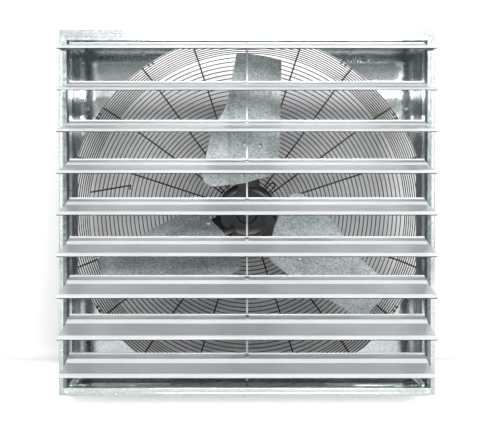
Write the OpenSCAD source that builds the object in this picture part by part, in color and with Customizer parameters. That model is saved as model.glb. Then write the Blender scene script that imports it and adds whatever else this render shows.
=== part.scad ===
// Shutter exhaust fan: a shallow galvanised box with nine linked louvres on its outlet side, a
// three-blade direct-drive fan inside and a wire guard that carries the motor on its inlet side.
// Millimetres, +Z up. The outlet faces -Y. The origin is on the fan's axis, in the plane where the
// wall flange bears on the wall.

/* [Housing] */
// Outside width of the box
housing_w = 1016; // [960:2:1100]
// Outside height of the box
housing_h = 987; // [975:1:1080]
// Depth of the box in front of the wall flange
housing_depth = 150; // [146:1:200]
// Thickness of the galvanised sheet
sheet = 1.5; // [1:0.1:2]
// Width of the rim turned inwards round the outlet
rim_w = 9; // [8:0.5:14]
// Outside radius of the box's lower corners
corner_low_r = 24; // [16:1:30]
// Outside radius of the box's upper corners
corner_top_r = 8; // [4:1:14]
// How far the wall flange stands out past the box
flange_w = 51; // [40:1:60]
// Radius of the wall bolt holes
wall_hole_r = 4; // [3:0.5:6]
// Distance between the two wall bolts along each side, between the corner bolts
wall_bolt_pitch = 500; // [400:10:600]
// How far the round opening's edge stands outside the guard's ring beside the back panel
opening_gap = 1; // [0:0.5:6]
// Depth of the collar strips that tie the box to the back panel
collar_depth = 38; // [20:1:60]

/* [Shutter frame] */
// How far the jambs stand in from the box's sides
jamb_inset = 18.5; // [16:0.5:24]
// How far the head stands in from the box's top
head_inset = 19; // [17:0.5:22]
// How far the sill stands in from the box's bottom
sill_inset = 23.3; // [22:0.1:26]
// Depth of the frame's inner legs
frame_leg = 25; // [20:1:27]

/* [Louvres] */
// Number of louvres
louvre_count = 9; // [9]
// Distance between two pivots
louvre_pitch = 106.2; // [106:0.1:112]
// Height of the first pivot below the box's top
first_pivot_drop = 35.4; // [35:0.1:40]
// Distance of the pivots behind the outlet's face
pivot_setback = 8; // [8:0.5:10]
// Tilt of the louvres at rest, front edge down
louvre_tilt = 12; // [0:1:40]
// Thickness of the louvre sheet
louvre_sheet = 1.5; // [1:0.1:2]
// Gap between a louvre's end and the jamb
louvre_end_gap = 3.5; // [2.5:0.1:6]
// Depth and drop of the louvre's heel, beside the pivot
heel = [22.3, 3.7]; // [1:0.1:30]
// Depth and drop of the step in front of the heel
step = [15.9, 5.7]; // [1:0.1:30]
// Depth of the louvre's flat
flat_len = 66.6; // [60:0.1:68]
// Depth of the lowest louvre's flat
last_flat_len = 50.6; // [40:0.1:52]
// Depth and drop of the front lip
lip = [13.4, 5.5]; // [1:0.1:20]
// Height of the upstand along the rear edge
upstand = 3; // [1:0.1:4]
// Place of the pivot from the louvre's rear edge, forwards and down
pivot_at = [8.2, 9.5]; // [5:0.1:12]
// Radius of the pivot pins
pivot_r = 2.5; // [2:0.1:3]

/* [Tie bar] */
// Width of the bar across the fan
tie_w = 5; // [4:0.5:8]
// Depth of the bar along the air flow
tie_d = 6; // [5:0.1:7]
// Place of the bar's pins from the pivots, backwards and up, with the louvre level
tie_arm = [21, 2]; // [1:0.5:24]
// Radius of the bar's pins
tie_pin_r = 1.6; // [1.2:0.1:2]
// How far the bar runs on below its lowest pin
tie_tail = 75; // [20:1:80]

/* [Fan] */
// Gap between the blade tips and the box's top
tip_gap = 36.5; // [28:0.5:60]
// Thickness of the blade sheet
blade_sheet = 2; // [1.5:0.1:3]
// Angle of the blade's middle to the plane of rotation
blade_pitch = 20; // [12:1:22]
// Angle of the blade's trailing wing
trailing_pitch = 26; // [20:1:27]
// Angle of the blade's leading wing
leading_pitch = 12; // [6:1:20]
// Turn of the first blade from straight up
blade_turn = 4.4; // [0:0.1:120]
// Distance of the blades' middle in front of the wall flange
blade_offset = 54; // [52:1:60]
// Radius of the hub's plate
hub_r = 76; // [60:1:80]
// Radius of the motor shaft
shaft_r = 7.94; // [6:0.01:10]

/* [Guard] */
// Depth of the guard behind the wall flange
guard_depth = 130; // [110:1:160]
// How far the guard's ring beside the back panel stays inside the wall flange's lower edge
guard_margin = 14.5; // [6:0.5:24]
// How far the guard narrows from that ring to its outermost face ring
guard_draft = 25; // [15:1:50]
// Distance between the face rings
ring_pitch = 13.1; // [12:0.1:16]
// Radius of the ring wire
ring_wire_r = 1.5; // [1:0.1:2]
// Radius of the rod wire
rod_wire_r = 2.5; // [2:0.1:3]
// Number of radial rods
rod_count = 20; // [20]
// How far the guard's foot screws stand outside the ring beside the back panel
foot_reach = 35; // [30:1:40]
// Angle of the upright pairs of feet from straight up
foot_angle = 33; // [32:0.5:36]

/* [Motor] */
// Radius of the motor's shell
motor_r = 90; // [80:1:92]
// Thickness of the shell
motor_wall = 3; // [2:0.5:4]
// Length of the shell
motor_len = 108; // [90:1:112]

/* [Hidden] */
$fn = 64;

galvanised = "#b4babc";
aluminium = "#c2c5c8";
zinc = "#a9aeb2";
black = "#1c1e20";
steel = "#8d9195";
nylon = "#d8d8d2";

// Clearances
fit = 0.05;
part_gap = 0.3;

// The box
half_w = housing_w / 2;
half_h = housing_h / 2;
face_y = -housing_depth;
wall_in_w = half_w - sheet;
wall_in_h = half_h - sheet;
seam_low_z = -half_h + corner_low_r + 12;
seam_top_z = half_h - corner_top_r - 12;
panel_ledge = 4;

// The shutter frame
frame_y = face_y + sheet;
frame_back_y = frame_y + frame_leg - sheet;
jamb_x = half_w - jamb_inset;
head_z = half_h - head_inset;
sill_z = -half_h + sill_inset;

// The louvres
pivot_y = face_y + pivot_setback;
louvre_half = jamb_x - louvre_end_gap;
end_fold_drop = 11;
end_fold_front = 0.83;
bush_r = 4;
bush_flange_r = 4.8;
bush_flange_t = 1.2;
tie_rest = [
    tie_arm[0] * cos(louvre_tilt) - tie_arm[1] * sin(louvre_tilt),
    tie_arm[0] * sin(louvre_tilt) + tie_arm[1] * cos(louvre_tilt)
];
clip_t = 1.6;
clip_ear_r = 3;
clip_x = tie_w / 2 + part_gap;

// The fan
blade_r = half_h - tip_gap;
blade_y = -blade_offset;
hub_t = 8;
arm_w = 64;
arm_t = 5;
arm_r = 258;
rivet_spots = [[-24, 112], [24, 112], [-24, 199], [24, 199], [0, 243]];
crease_trailing = -49;
crease_leading = 45;

// The guard
guard_base_r = half_h + flange_w - guard_margin;
guard_face_r = guard_base_r - guard_draft;
foot_screw_r = guard_base_r + foot_reach;
opening_r = guard_base_r + opening_gap;
foot_y = sheet + rod_wire_r;
base_ring_y = foot_y + rod_wire_r + ring_wire_r;
rod_y = guard_depth + ring_wire_r + rod_wire_r;
skirt_steps = 9;
face_ring_count = floor((guard_face_r - motor_r - 8) / ring_pitch) + 1;
inner_ring_r = guard_face_r - (face_ring_count - 1) * ring_pitch;
foot_turns = [for (q = [0:3], a = [foot_angle, 90 - foot_angle]) q * 90 + a];
foot_loop_r = 7;
stay_inset = 6;
stay_len = 127;

// The motor
bell_t = 14;
bell_taper = 6;
rear_face_y = guard_depth + ring_wire_r;
motor_back_y = rear_face_y - bell_t;
motor_front_y = motor_back_y - motor_len;
bell_front_y = motor_front_y - bell_t;
mount_turns = [for (q = [0:3]) q * 90 + 45];
mount_bolt_r = motor_r - 17;
mount_loop_r = 8;
bearing_r = 17.5;
bearing_w = 11;
stator_bore_r = 50;
stator_len = 70;
core_y = (motor_front_y + motor_back_y) / 2;
shaft_front_y = blade_y - 24;

function unit(v) = v / norm(v);

// Points of a fillet of radius r at corner b, between its neighbours a and c
function fillet(a, b, c, r, n = 8) =
    let (
        u = unit(a - b),
        v = unit(c - b),
        half = acos(u * v) / 2,
        centre = b + unit(u + v) * r / sin(half),
        from = b + u * r / tan(half) - centre,
        to = b + v * r / tan(half) - centre,
        start = atan2(from.y, from.x),
        sweep = atan2(from.x * to.y - from.y * to.x, from * to)
    )
    [for (i = [0:n]) centre + r * [cos(start + sweep * i / n), sin(start + sweep * i / n)]];

// Outline whose corners, given as [x, y, radius], are rounded
function rounded(corners) =
    let (n = len(corners))
    [for (i = [0:n - 1])
        let (a = corners[(i + n - 1) % n], b = corners[i], c = corners[(i + 1) % n])
        each (b[2] > 0
            ? fillet([a[0], a[1]], [b[0], b[1]], [c[0], c[1]], b[2])
            : [[b[0], b[1]]])];

// Turns a shape drawn along +Z so that it lies along +Y
module along_y(y = 0) {
    translate([0, y, 0]) rotate([-90, 0, 0]) children();
}

// Turns a section drawn in the Y-Z plane into a bar along X, centred on x = 0
module along_x(length) {
    rotate([90, 0, 90]) linear_extrude(height = length, center = true) children();
}

module disc(r, y0, y1) {
    along_y(y0) cylinder(h = y1 - y0, r = r);
}

module tube(r_out, r_in, y0, y1) {
    difference() {
        disc(r_out, y0, y1);
        disc(r_in, y0 - 1, y1 + 1);
    }
}

// Ring of wire, whose section is an octagon because the guard has so many of them
module wire_ring(r, y, wire_r) {
    along_y(y) rotate_extrude($fn = 96) translate([r, 0]) circle(r = wire_r, $fn = 8);
}

module rod(a, b, r) {
    d = b - a;
    translate(a) rotate([0, acos(d.z / norm(d)), atan2(d.y, d.x)]) cylinder(h = norm(d), r = r);
}

module slab(x0, x1, y0, y1, z0, z1) {
    translate([x0, y0, z0]) cube([x1 - x0, y1 - y0, z1 - z0]);
}

// Solid block with the box's outline, drawn in by inset, from y0 to y1
module box_block(inset, y0, y1) {
    w = half_w - inset;
    h = half_h - inset;
    difference() {
        slab(-w, w, y0, y1, -h, h);
        for (side = [-1, 1], end = [[-1, corner_low_r], [1, corner_top_r]])
            if (end[1] > inset)
                corner_cut(side, end[0], end[1] - inset, w, h, y0, y1);
    }
}

// What a round corner of radius r takes off a square one
module corner_cut(side, end, r, w, h, y0, y1) {
    difference() {
        translate([side * w, (y0 + y1) / 2, end * h]) cube([2 * r, y1 - y0 + 2, 2 * r], center = true);
        translate([side * (w - r), 0, end * (h - r)]) disc(r, y0 - 2, y1 + 2);
    }
}

// The box's four walls in one piece, with the rim turned in at the outlet
module box_shell() {
    difference() {
        box_block(0, face_y, 0);
        box_block(sheet, face_y + sheet, 1);
        box_block(rim_w, face_y - 1, face_y + sheet + 1);
    }
}

module housing_top() {
    color(galvanised) intersection() {
        box_shell();
        slab(-half_w, half_w, face_y, 0, seam_top_z, half_h);
    }
}

module housing_bottom() {
    color(galvanised) intersection() {
        box_shell();
        slab(-half_w, half_w, face_y, 0, -half_h, seam_low_z);
    }
}

module housing_side(side) {
    color(galvanised) intersection() {
        box_shell();
        slab(side < 0 ? -half_w : 0, side < 0 ? 0 : half_w, face_y, 0, seam_low_z, seam_top_z);
    }
}

// Wall flange and corner gussets, cut from one sheet round the opening
module back_panel() {
    bolt_x = half_w + flange_w / 2;
    bolt_z = half_h + flange_w / 2;
    color(galvanised) difference() {
        slab(-half_w - flange_w, half_w + flange_w, 0, sheet, -half_h - flange_w, half_h + flange_w);
        intersection() {
            disc(opening_r, -1, sheet + 1);
            slab(-wall_in_w + panel_ledge, wall_in_w - panel_ledge, -1, sheet + 1,
                -wall_in_h + panel_ledge, wall_in_h - panel_ledge);
        }
        for (side = [-1, 1], end = [-1, 1])
            for (spot = [[bolt_x, bolt_z], [wall_bolt_pitch / 2, bolt_z], [bolt_x, wall_bolt_pitch / 2]])
                translate([side * spot[0], 0, end * spot[1]]) disc(wall_hole_r, -1, sheet + 1);
        for (turn = foot_turns)
            rotate([0, turn, 0]) translate([0, 0, foot_screw_r]) disc(3.2, -1, sheet + 1);
    }
}

module panel_collar() {
    side_z = wall_in_h - corner_low_r;
    color(galvanised) {
        for (side = [-1, 1]) {
            slab(side * (wall_in_w - sheet / 2) - sheet / 2, side * (wall_in_w - sheet / 2) + sheet / 2,
                -collar_depth, 0, -side_z, side_z);
            slab(-wall_in_w + corner_low_r, wall_in_w - corner_low_r, -collar_depth, 0,
                side * (wall_in_h - sheet / 2) - sheet / 2, side * (wall_in_h - sheet / 2) + sheet / 2);
        }
    }
}

// Rivet with a domed head, set at the origin, its head towards +Z
module rivet(head_r, grip) {
    intersection() {
        translate([0, 0, -head_r]) sphere(r = head_r * 1.6);
        cylinder(h = head_r, r = head_r);
    }
    translate([0, 0, -grip]) cylinder(h = grip + 0.2, r = head_r * 0.5);
}

// Blind rivets through the walls into the collar, heads outside
module housing_rivets() {
    grip = 2 * sheet;
    y = -collar_depth / 2;
    color(zinc) {
        for (side = [-1, 1], t = [-0.8, -0.4, 0, 0.4, 0.8]) {
            translate([side * half_w, y, t * wall_in_h]) rotate([0, side * 90, 0]) rivet(3.5, grip);
            translate([t * wall_in_w, y, side * half_h]) rotate([side < 0 ? 180 : 0, 0, 0])
                rivet(3.5, grip);
        }
    }
}

module shutter_head() {
    color(galvanised) difference() {
        intersection() {
            union() {
                slab(-half_w, half_w, frame_y, frame_y + sheet, head_z, half_h);
                slab(-jamb_x, jamb_x, frame_y, frame_back_y, head_z, head_z + sheet);
            }
            box_block(sheet + part_gap, frame_y, frame_back_y);
        }
        slab(-clip_x - clip_t - 4, clip_x + clip_t + 4, frame_y + sheet + part_gap, frame_back_y + 1,
            head_z - 1, head_z + sheet + 1);
    }
}

module shutter_sill() {
    color(galvanised) intersection() {
        union() {
            slab(-half_w, half_w, frame_y, frame_y + sheet, -half_h, sill_z);
            slab(-jamb_x, jamb_x, frame_y, frame_back_y, sill_z - sheet, sill_z);
        }
        box_block(sheet + part_gap, frame_y, frame_back_y);
    }
}

module shutter_jamb(side) {
    color(galvanised) difference() {
        union() {
            slab(side < 0 ? -wall_in_w + part_gap : jamb_x, side < 0 ? -jamb_x : wall_in_w - part_gap,
                frame_y, frame_y + sheet, sill_z, head_z);
            slab(side < 0 ? -jamb_x - sheet : jamb_x, side < 0 ? -jamb_x : jamb_x + sheet,
                frame_y, frame_back_y, sill_z, head_z);
        }
        for (i = [1:louvre_count])
            translate([side * jamb_x, pivot_y, pivot_z(i)]) rotate([0, 90, 0])
                cylinder(h = 4 * sheet, r = bush_r, center = true);
    }
}

// Screws through the rim into the shutter frame
module shutter_screws() {
    inset = rim_w / 2;
    color(zinc) {
        for (side = [-1, 1]) {
            for (z = [-0.75, -0.25, 0.25, 0.75] * half_h)
                translate([side * (half_w - inset), face_y, z]) rotate([90, 0, 0]) rivet(3, 2 * sheet);
            for (x = [-0.7, 0, 0.7] * half_w)
                translate([x, face_y, side * (half_h - inset)]) rotate([90, 0, 0]) rivet(3, 2 * sheet);
        }
    }
}

function pivot_z(i) = half_h - first_pivot_drop - (i - 1) * louvre_pitch;

module jamb_bushes() {
    color(nylon) for (side = [-1, 1], i = [1:louvre_count])
        translate([side * jamb_x, pivot_y, pivot_z(i)]) rotate([0, side * 90, 0]) difference() {
            union() {
                translate([0, 0, -bush_flange_t]) cylinder(h = bush_flange_t, r = bush_flange_r);
                cylinder(h = sheet, r = bush_r);
                translate([0, 0, sheet]) cylinder(h = bush_flange_t, r = bush_flange_r);
            }
            translate([0, 0, -5]) cylinder(h = 12, r = pivot_r + fit);
        }
}

// Top line of the louvre's section as [Y, Z] from the pivot, rear edge first
function louvre_line(flat) =
    let (
        rear = [pivot_at[0], pivot_at[1]],
        heel_end = rear - heel,
        step_end = heel_end - step,
        flat_end = step_end - [flat, 0]
    )
    [rear, heel_end, step_end, flat_end, flat_end - lip];

module louvre_section(flat) {
    line = louvre_line(flat);
    last = len(line) - 1;
    polygon(concat(line, [for (i = [last:-1:0]) line[i] - [0, louvre_sheet]]));
    translate([line[0][0] - louvre_sheet, line[0][1] - louvre_sheet])
        square([louvre_sheet, louvre_sheet + upstand]);
}

// Plate folded down at each end of the louvre, cut short of the lip so that it clears the louvre
// below when the shutter closes
module end_fold_section(flat) {
    line = louvre_line(flat);
    fold_end = line[2] + (line[3] - line[2]) * end_fold_front;
    polygon([
        line[0] - [0, 0.2], line[1] - [0, 0.2], line[2] - [0, 0.2], fold_end - [0, 0.2],
        fold_end - [-6, end_fold_drop], line[2] - [0, end_fold_drop + 1],
        [line[1][0], -pivot_r - 5], [line[0][0] - 1, -pivot_r - 4]
    ]);
}

module louvre(i) {
    flat = i == louvre_count ? last_flat_len : flat_len;
    color(aluminium) translate([0, pivot_y, pivot_z(i)]) rotate([louvre_tilt, 0, 0]) difference() {
        union() {
            along_x(2 * louvre_half) louvre_section(flat);
            for (side = [-1, 1])
                translate([side * (louvre_half - louvre_sheet / 2), 0, 0]) along_x(louvre_sheet)
                    end_fold_section(flat);
        }
        along_x(2 * (clip_x + clip_t + 1)) polygon([
            pivot_at, pivot_at - 2 * louvre_sheet * [1, heel[1] / heel[0]],
            pivot_at + [-2 * louvre_sheet, upstand + 1], pivot_at + [1, upstand + 1],
            pivot_at + [1, 0]
        ]);
        for (side = [-1, 1])
            translate([side * louvre_half, 0, 0]) rotate([0, 90, 0])
                cylinder(h = 4 * louvre_sheet, r = pivot_r, center = true);
    }
}

// Pivot pins with their heads inside the end folds, and the clip that reaches back to the tie bar
module louvre_pins(i) {
    pin_end = jamb_x + sheet + bush_flange_t + 1.5;
    head_x = louvre_half - louvre_sheet;
    color(zinc) translate([0, pivot_y, pivot_z(i)]) rotate([louvre_tilt, 0, 0]) {
        for (side = [-1, 1]) {
            rod([side * head_x, 0, 0], [side * pin_end, 0, 0], pivot_r);
            rod([side * (head_x - 2), 0, 0], [side * head_x, 0, 0], pivot_r + 1.5);
        }
        tie_clip();
    }
}

// Channel-shaped clip: its web lies on the heel and its two ears hold the tie bar's pin
module tie_clip() {
    rear = [pivot_at[0], pivot_at[1]];
    front = rear - 17 * [1, heel[1] / heel[0]];
    pin = [tie_arm[0], tie_arm[1]];
    difference() {
        union() {
            along_x(2 * (clip_x + clip_t)) polygon([
                front, rear, rear + [clip_t, -1], rear + [clip_t, clip_t / 2], rear + [0, clip_t],
                front + [0, clip_t]
            ]);
            for (side = [-1, 1]) translate([side * (clip_x + clip_t / 2), 0, 0]) {
                along_x(clip_t) polygon([
                    rear + [part_gap, 0], rear + [clip_t, 0], rear + [clip_t, -2.5],
                    pin + [0, clip_ear_r], pin + [clip_ear_r, 0], pin + [0, -clip_ear_r],
                    rear + [part_gap, -clip_ear_r - 4]
                ]);
                translate([0, pin[0], pin[1]]) rotate([0, 90, 0])
                    cylinder(h = clip_t, r = clip_ear_r, center = true);
            }
        }
        translate([0, pin[0], pin[1]]) rotate([0, 90, 0])
            cylinder(h = 40, r = tie_pin_r + fit, center = true);
        slab(-clip_x, clip_x, pivot_at[0] + clip_t, 60, -20, 30);
    }
}

module tie_bar() {
    y = pivot_y + tie_rest[0];
    top = pivot_z(1) + tie_rest[1] + 8;
    bottom = pivot_z(louvre_count) + tie_rest[1] - tie_tail;
    color(aluminium) difference() {
        slab(-tie_w / 2, tie_w / 2, y - tie_d / 2, y + tie_d / 2, bottom, top);
        for (i = [1:louvre_count])
            translate([0, y, pivot_z(i) + tie_rest[1]]) rotate([0, 90, 0])
                cylinder(h = 2 * tie_w, r = tie_pin_r, center = true);
    }
}

module tie_bar_pins() {
    reach = clip_x + clip_t + part_gap;
    color(zinc) for (i = [1:louvre_count])
        translate([0, pivot_y + tie_rest[0], pivot_z(i) + tie_rest[1]]) rotate([0, 90, 0]) {
            cylinder(h = 2 * reach, r = tie_pin_r, center = true);
            for (side = [-1, 1])
                translate([0, 0, side * (reach + 0.5)]) cylinder(h = 1, r = tie_pin_r + 0.9, center = true);
        }
}

module guard_face_rings() {
    color(black) for (k = [0:face_ring_count - 1])
        wire_ring(guard_face_r - k * ring_pitch, guard_depth, ring_wire_r);
}

module guard_skirt_rings() {
    color(black) for (k = [0:skirt_steps - 1])
        wire_ring(guard_base_r + (guard_face_r - guard_base_r) * k / skirt_steps,
            base_ring_y + (guard_depth - base_ring_y) * k / skirt_steps, ring_wire_r);
}

// Radial rods on the outside of the rings. Each is bent round the outermost face ring and runs
// down the skirt to the panel
module guard_rods() {
    stand_off = ring_wire_r + rod_wire_r;
    lean = atan((guard_base_r - guard_face_r) / (guard_depth - base_ring_y));
    run = (guard_depth + stand_off * sin(lean) - sheet - 0.6) / cos(lean);
    color(black) for (k = [0:rod_count - 1]) rotate([0, k * 360 / rod_count, 0]) {
        rod([0, rod_y, inner_ring_r - 4], [0, rod_y, guard_face_r], rod_wire_r);
        translate([0, guard_depth, guard_face_r]) {
            rotate([90, 0, 90]) rotate_extrude(angle = 90 - lean)
                translate([stand_off, 0]) circle(r = rod_wire_r);
            rotate([90 - lean, 0, 0]) translate([0, stand_off, 0])
                cylinder(h = run, r = rod_wire_r);
        }
    }
}

// Loop of wire in the plane y, drawn towards +Z: two legs from z0 and a half ring about z1
module wire_loop(y, loop_r, z0, z1) {
    for (side = [-1, 1])
        rod([side * loop_r, y, z0], [side * loop_r, y, z1], rod_wire_r);
    translate([0, y, z1]) rotate([90, 0, 0]) rotate_extrude(angle = 180)
        translate([loop_r, 0]) circle(r = rod_wire_r);
}

// Loops flat on the panel, welded under the base ring, each round one screw
module guard_feet() {
    color(black) for (turn = foot_turns) rotate([0, turn, 0])
        wire_loop(foot_y, foot_loop_r, guard_base_r - 6, foot_screw_r);
}

// Screws that clamp the feet, with a washer over the loop and a nut in front of the panel
module guard_screws() {
    washer_y = foot_y + rod_wire_r;
    color(zinc) for (turn = foot_turns) rotate([0, turn, 0]) translate([0, 0, foot_screw_r]) {
        disc(3, -7, washer_y + 2);
        disc(10, washer_y, washer_y + 1.5);
        along_y(washer_y + 1.5) cylinder(h = 4, r = 5.6, $fn = 6);
        along_y(-5) cylinder(h = 5, r = 5.6, $fn = 6);
    }
}

// Short stay clipped across the face rings on the left
module guard_stay() {
    y = guard_depth - ring_wire_r - rod_wire_r;
    outer = [stay_inset - guard_face_r, y, 60];
    inner = outer + [stay_len, 0, 22];
    color(black) {
        rod(inner, outer, rod_wire_r);
        translate(inner) sphere(r = rod_wire_r);
        rod(inner, inner + [-2, 0, -14], rod_wire_r);
    }
}

// Loops welded across the inner face rings, which carry the motor
module motor_mount() {
    color(black) for (turn = mount_turns) rotate([0, turn, 0])
        wire_loop(rod_y, mount_loop_r, mount_bolt_r - 10, inner_ring_r + ring_pitch + 4);
}

// Bolts through the mount loops into the rear end bell
module mount_bolts() {
    washer_y = rod_y + rod_wire_r;
    color(zinc) for (turn = mount_turns) rotate([0, turn, 0]) translate([0, 0, mount_bolt_r]) {
        disc(3, rear_face_y - 10, washer_y + 2);
        disc(11, washer_y, washer_y + 1.5);
        along_y(washer_y + 1.5) cylinder(h = 4, r = 5.6, $fn = 6);
    }
}

module motor_shell() {
    color(black) tube(motor_r, motor_r - motor_wall, motor_front_y, motor_back_y);
}

// Dished end bell with vent slots, its wide end at y = 0 and its narrow end towards -Z of along_y
module bell_body() {
    difference() {
        union() {
            cylinder(h = 4, r = motor_r);
            translate([0, 0, 4]) cylinder(h = bell_t - 4, r1 = motor_r, r2 = motor_r - bell_taper);
            translate([0, 0, -4]) cylinder(h = 5, r = motor_r - motor_wall - fit);
            translate([0, 0, -bearing_w + 3]) cylinder(h = bearing_w + bell_t - 3, r = bearing_r + 5);
        }
        translate([0, 0, -5]) difference() {
            cylinder(h = 8, r = motor_r - 12);
            cylinder(h = 30, r = bearing_r + 5, center = true);
        }
        for (k = [0:11]) rotate([0, 0, k * 30 + 15])
            translate([-3, 32, -1]) cube([6, 20, bell_t + 2]);
    }
}

module front_end_bell() {
    color(black) difference() {
        translate([0, motor_front_y, 0]) rotate([90, 0, 0]) bell_body();
        disc(bearing_r, bell_front_y + 4, motor_back_y);
        disc(shaft_r + 1, bell_front_y - 1, motor_back_y);
    }
}

module rear_end_bell() {
    color(black) difference() {
        along_y(motor_back_y) bell_body();
        disc(bearing_r, motor_front_y, rear_face_y - 4);
        for (turn = mount_turns) rotate([0, turn, 0]) translate([0, 0, mount_bolt_r])
            disc(3.2, rear_face_y - 10, rear_face_y + 1);
    }
}

// Laminated stack with the winding's two overhangs
module stator() {
    half = stator_len / 2;
    color(steel) {
        tube(motor_r - motor_wall, stator_bore_r, core_y - half, core_y + half);
        for (side = [-1, 1])
            tube(motor_r - motor_wall - 8, stator_bore_r + 6,
                core_y + side * (half + 7) - 7, core_y + side * (half + 7) + 7);
    }
}

module bearing(y) {
    color(steel) {
        tube(bearing_r, bearing_r - 3.5, y, y + bearing_w);
        tube(bearing_r - 3.5, shaft_r + 3.5, y + 1, y + bearing_w - 1);
        tube(shaft_r + 3.5, shaft_r + fit, y, y + bearing_w);
    }
}

module front_bearing() {
    bearing(bell_front_y + 4);
}

module rear_bearing() {
    bearing(rear_face_y - 4 - bearing_w);
}

// Cover of the run capacitor, on the underside of the shell
module capacitor_box() {
    color(black) difference() {
        slab(-24, 24, motor_front_y + 10, motor_front_y + 94, -motor_r - 28, -motor_r + 14);
        disc(motor_r, motor_front_y, motor_back_y);
        slab(-22, 22, motor_front_y + 12, motor_front_y + 92, -motor_r - 26, -motor_r + 20);
    }
}

// Wiring box behind the rear end bell, with a threaded cable entry in its lower side
module terminal_box() {
    y = rear_face_y;
    color(black) difference() {
        union() {
            slab(-36, 36, y, y + 34, -28, 28);
            translate([0, y + 17, -38]) cylinder(h = 12, r = 11);
        }
        slab(-34, 34, y + 2, y + 40, -26, 26);
        translate([0, y + 17, -39]) cylinder(h = 20, r = 8);
    }
}

module terminal_cover() {
    y = rear_face_y + 34;
    color(black) {
        slab(-37, 37, y, y + 3, -29, 29);
        for (side = [-1, 1]) translate([side * 29, 0, 0]) disc(3, y + 3, y + 5);
    }
}

module motor_shaft() {
    color(steel) difference() {
        disc(shaft_r, shaft_front_y, rear_face_y - 5);
        slab(-shaft_r, shaft_r, shaft_front_y - 1, blade_y + 30, shaft_r - 1, shaft_r + 2);
    }
}

module rotor_core() {
    half = stator_len / 2;
    color(steel) {
        tube(stator_bore_r - 0.6, shaft_r, core_y - half, core_y + half);
        for (side = [-1, 1])
            tube(stator_bore_r - 6, stator_bore_r - 16,
                core_y + side * (half + 4) - 4, core_y + side * (half + 4) + 4);
    }
}

// Turns a blade's own shape, drawn upright, to blade k's place
module at_blade(k) {
    translate([0, blade_y, 0]) rotate([0, blade_turn + k * 120, 0]) children();
}

// Hub plate, boss and the three arms behind the blades
module hub_spider() {
    color(black) difference() {
        union() {
            disc(hub_r, blade_y - hub_t / 2, blade_y + hub_t / 2);
            disc(28, blade_y - 16, blade_y + 28);
            for (k = [0:2]) at_blade(k) rotate([0, 0, blade_pitch])
                slab(-arm_w / 2, arm_w / 2, blade_sheet / 2, blade_sheet / 2 + arm_t, 50, arm_r);
        }
        disc(shaft_r + 0.01, blade_y - 60, blade_y + 60);
        for (k = [0:2]) at_blade(k) rotate([0, 0, blade_pitch]) for (p = rivet_spots)
            translate([p[0], 0, p[1]]) disc(3, -20, 20);
        translate([0, blade_y + 18, 0]) cylinder(h = 40, r = 4);
    }
}

module hub_set_screws() {
    color(steel) translate([0, blade_y + 18, shaft_r - 1]) cylinder(h = 21, r = 4 - fit);
}

// Blade outline seen from the outlet, as [across, along, corner radius]
function blade_outline() = [
    [-15, 86, 40], [-137, 62, 32], [-118, 222, 50], [-80, 300, 120], [-64, blade_r + 20, 0],
    [66, blade_r + 20, 0], [80, 210, 150], [76, 118, 40], [10, 96, 15]
];

// Cross-section of the blade's sheet: a flat middle between two bent wings
module blade_bend() {
    middle = [for (s = [crease_trailing, crease_leading]) [s, s * tan(blade_pitch)]];
    trail = middle[0] + [-100, -100 * tan(trailing_pitch)];
    lead = middle[1] + [50, 50 * tan(leading_pitch)];
    half = blade_sheet / 2 / cos(blade_pitch);
    line = [trail, middle[0], middle[1], lead];
    polygon(concat([for (p = line) p + [0, half]], [for (i = [3:-1:0]) line[i] - [0, half]]));
}

module blade(k) {
    color(galvanised) at_blade(k) difference() {
        intersection() {
            rotate([90, 0, 0]) linear_extrude(height = 200, center = true)
                polygon(rounded(blade_outline()));
            linear_extrude(height = blade_r + 40) blade_bend();
            disc(blade_r, -100, 100);
        }
        rotate([0, 0, blade_pitch]) for (p = rivet_spots)
            translate([p[0], 0, p[1]]) disc(3, -6, 6);
    }
}

module blade_rivets() {
    grip = blade_sheet + arm_t;
    color(zinc) for (k = [0:2]) at_blade(k) rotate([0, 0, blade_pitch]) for (p = rivet_spots)
        translate([p[0], -blade_sheet / 2, p[1]]) {
            rotate([90, 0, 0]) rivet(6, grip);
            disc(5, grip, grip + 2.5);
        }
}

housing_top();
housing_bottom();
housing_side(-1);  // housing_left
housing_side(1);  // housing_right
back_panel();
panel_collar();
housing_rivets();
shutter_head();
shutter_sill();
shutter_jamb(-1);  // shutter_jamb_left
shutter_jamb(1);  // shutter_jamb_right
shutter_screws();
jamb_bushes();
louvre(1);  // louvre_1
louvre(2);  // louvre_2
louvre(3);  // louvre_3
louvre(4);  // louvre_4
louvre(5);  // louvre_5
louvre(6);  // louvre_6
louvre(7);  // louvre_7
louvre(8);  // louvre_8
louvre(9);  // louvre_9
louvre_pins(1);  // louvre_pins_1
louvre_pins(2);  // louvre_pins_2
louvre_pins(3);  // louvre_pins_3
louvre_pins(4);  // louvre_pins_4
louvre_pins(5);  // louvre_pins_5
louvre_pins(6);  // louvre_pins_6
louvre_pins(7);  // louvre_pins_7
louvre_pins(8);  // louvre_pins_8
louvre_pins(9);  // louvre_pins_9
tie_bar();
tie_bar_pins();
guard_face_rings();
guard_skirt_rings();
guard_rods();
guard_feet();
guard_screws();
guard_stay();
motor_mount();
mount_bolts();
motor_shell();
front_end_bell();
rear_end_bell();
stator();
front_bearing();
rear_bearing();
capacitor_box();
terminal_box();
terminal_cover();
motor_shaft();
rotor_core();
hub_spider();
hub_set_screws();
blade(0);  // blade_1
blade(1);  // blade_2
blade(2);  // blade_3
blade_rivets();
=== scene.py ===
"""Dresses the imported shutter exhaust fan: louvres, housing, blades, motor and wire guard."""

import math

import bmesh
import bpy
from bpy.props import FloatProperty, FloatVectorProperty, IntProperty, PointerProperty
from mathutils import Matrix, Vector


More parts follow.
